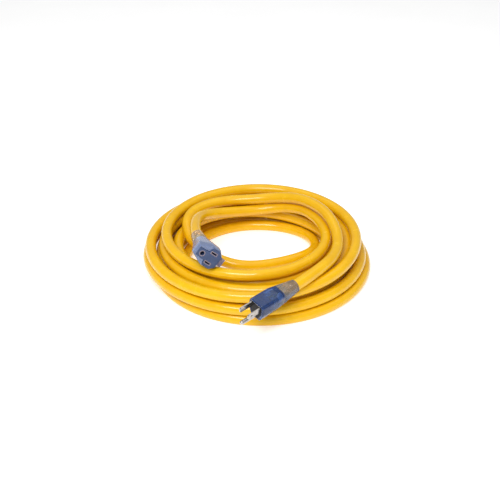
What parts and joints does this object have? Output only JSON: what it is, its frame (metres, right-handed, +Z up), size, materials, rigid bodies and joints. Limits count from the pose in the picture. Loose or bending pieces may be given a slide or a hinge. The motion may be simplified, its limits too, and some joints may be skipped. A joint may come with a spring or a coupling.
{
  "type": "power extension cord",
  "caption": "Heavy jacketed three-conductor power cord in a flat coil, with a moulded three-blade plug and a locking three-slot connector with a press tab.",
  "frame": {"origin": "centre of the footprint, on the surface that the coiled cord lies on", "axes": "+Z up, +Y from the ends of the cord, at the front of the coil, towards its back, +X to the right seen from the front"},
  "size_m": [0.2715, 0.3095, 0.083],
  "materials": {
    "jacket": "smooth glossy vinyl",
    "clear_blue": "clear moulded vinyl",
    "face_blue": "satin moulded plastic",
    "smoke_relief": "clear smoky vinyl",
    "tab_plastic": "clear moulded plastic",
    "black_insert": "satin moulded plastic",
    "prong_plate": "nickel plate on brass",
    "contact_brass": "rolled sheet",
    "line_insulation": "extruded vinyl",
    "neutral_insulation": "extruded vinyl",
    "ground_insulation": "extruded vinyl",
    "lamp_glass": "clear amber glass",
    "resistor_coat": "dipped coating",
    "lock_steel": "spring steel"
  },
  "bodies": {
    "cord_set": {"cord_coil": "jacket", "plug_lead": "jacket", "connector_lead": "jacket", "plug_body": "clear_blue", "plug_strain_relief": "smoke_relief", "plug_bridge": "black_insert", "line_blade": "prong_plate", "neutral_blade": "prong_plate", "ground_pin": "prong_plate", "plug_line_wire": "line_insulation", "plug_neutral_wire": "neutral_insulation", "plug_ground_wire": "ground_insulation", "connector_body": "clear_blue", "connector_strain_relief": "smoke_relief", "contact_block": "face_blue", "line_contact": "contact_brass", "neutral_contact": "contact_brass", "ground_contact": "contact_brass", "connector_line_wire": "line_insulation", "connector_neutral_wire": "neutral_insulation", "connector_ground_wire": "ground_insulation", "indicator_lamp": "lamp_glass", "lamp_resistor": "resistor_coat", "lock_spring": "lock_steel"},
    "blade_lock": {"release_tab": "tab_plastic", "lock_plate": "lock_steel"}
  },
  "joints": [
    {"name": "tab_press", "type": "slide", "parent": "cord_set", "child": "blade_lock", "axis": [-0.7467, -0.1291, 0.6525], "range_m": [0, 0.0025], "stiffness_N_per_m": 300, "deforming": ["lock_spring"]}
  ]
}
